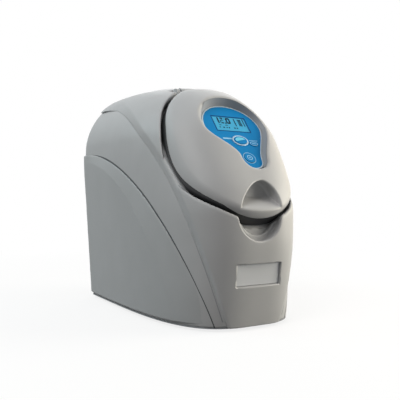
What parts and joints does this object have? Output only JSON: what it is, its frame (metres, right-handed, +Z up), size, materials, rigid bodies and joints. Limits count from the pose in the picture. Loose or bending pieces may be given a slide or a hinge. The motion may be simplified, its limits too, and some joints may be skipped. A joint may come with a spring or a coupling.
{
  "type": "benchtop microcentrifuge",
  "caption": "Benchtop microcentrifuge with a domed grey housing, a sloped hinged lid carrying a drop-shaped control panel, and an angle rotor in a sealed chamber.",
  "frame": {"origin": "on the floor under the feet, in the middle of the overall box", "axes": "front faces -Y, +X to the right seen from the front, +Z up"},
  "size_m": [0.177, 0.2578, 0.264],
  "materials": {
    "grey": "moulded light grey plastic with a fine satin texture",
    "collar_grey": "moulded grey plastic",
    "liner_grey": "pale moulded inner liner",
    "dark_plastic": "dark moulded plastic",
    "black_plastic": "black moulded plastic",
    "rubber": "soft black rubber",
    "steel": "plain stainless steel",
    "cast": "plain cast or folded metal",
    "rotor_alloy": "turned and anodised alloy",
    "motor_black": "dark painted can",
    "copper": "enamelled copper winding",
    "board_green": "green circuit board",
    "panel_blue": "blue membrane with a light sheen",
    "display": "light cyan display window",
    "key_silver": "pale key cap",
    "ring_chrome": "bright ring",
    "rocker_red": "red rocker",
    "plate_pale": "plain pale plate"
  },
  "bodies": {
    "base": {"cowl": "grey", "left_housing": "grey", "right_housing": "grey", "left_side_panel": "grey", "right_side_panel": "grey", "base_tray": "dark_plastic", "rear_panel": "grey", "rubber_feet": "rubber", "chamber_bowl": "steel", "chamber_collar": "collar_grey", "chamber_seal": "rubber", "damper_ring": "rubber", "motor_plate": "cast", "motor_can": "motor_black", "bearing_upper": "steel", "bearing_lower": "steel", "hinge_bridge": "cast", "hinge_pin": "steel", "lock_frame": "cast", "lock_coil": "copper", "name_plate": "plate_pale", "power_supply": "cast", "control_board": "board_green", "toroid": "copper", "mains_inlet": "black_plastic", "switch_frame": "black_plastic", "fan_frame": "dark_plastic", "fan_guard": "black_plastic", "tray_screws": "steel", "motor_screws": "steel", "rear_screws": "steel"},
    "lid": {"lid_shell": "grey", "lid_liner": "liner_grey", "lid_hinge": "cast", "control_panel": "panel_blue", "display_module": "dark_plastic", "display_window": "display", "key_board": "board_green", "oval_ring": "ring_chrome", "latch_hook": "steel", "liner_screws": "steel"},
    "oval_key": {"oval_key": "key_silver"},
    "small_key": {"small_key": "panel_blue"},
    "power_key": {"power_key": "panel_blue"},
    "rotor": {"motor_shaft": "steel", "rotor": "rotor_alloy", "rotor_nut": "dark_plastic"},
    "lock_bolt": {"lock_bolt": "steel"},
    "rocker": {"mains_switch": "rocker_red"},
    "fan": {"fan_wheel": "dark_plastic"}
  },
  "joints": [
    {"name": "lid_hinge", "type": "hinge", "parent": "base", "child": "lid", "pos_m": [0, -0.01055, 0.24025], "axis": [-1, 0, 0], "range_deg": [0, 95]},
    {"name": "oval_key_press", "type": "slide", "parent": "lid", "child": "oval_key", "axis": [0, 0.7793, -0.6266], "range_m": [0, 0.0006], "stiffness_N_per_m": 1500},
    {"name": "small_key_press", "type": "slide", "parent": "lid", "child": "small_key", "axis": [0, 0.7793, -0.6266], "range_m": [0, 0.0006], "stiffness_N_per_m": 1500},
    {"name": "power_key_press", "type": "slide", "parent": "lid", "child": "power_key", "axis": [0, 0.7793, -0.6266], "range_m": [0, 0.0006], "stiffness_N_per_m": 1500},
    {"name": "rotor_spin", "type": "hinge", "parent": "base", "child": "rotor", "pos_m": [0, -0.04507, 0.09], "axis": [0, 0, 1], "continuous": true},
    {"name": "lock_slide", "type": "slide", "parent": "base", "child": "lock_bolt", "axis": [0, 0.6266, 0.7793], "range_m": [0, 0.005], "stiffness_N_per_m": 150},
    {"name": "switch_rock", "type": "hinge", "parent": "base", "child": "rocker", "pos_m": [-0.04, 0.12243, 0.07775], "axis": [-1, 0, 0], "range_deg": [0, 16]},
    {"name": "fan_spin", "type": "hinge", "parent": "base", "child": "fan", "pos_m": [0.032, 0.11593, 0.064], "axis": [0, 1, 0], "continuous": true}
  ]
}
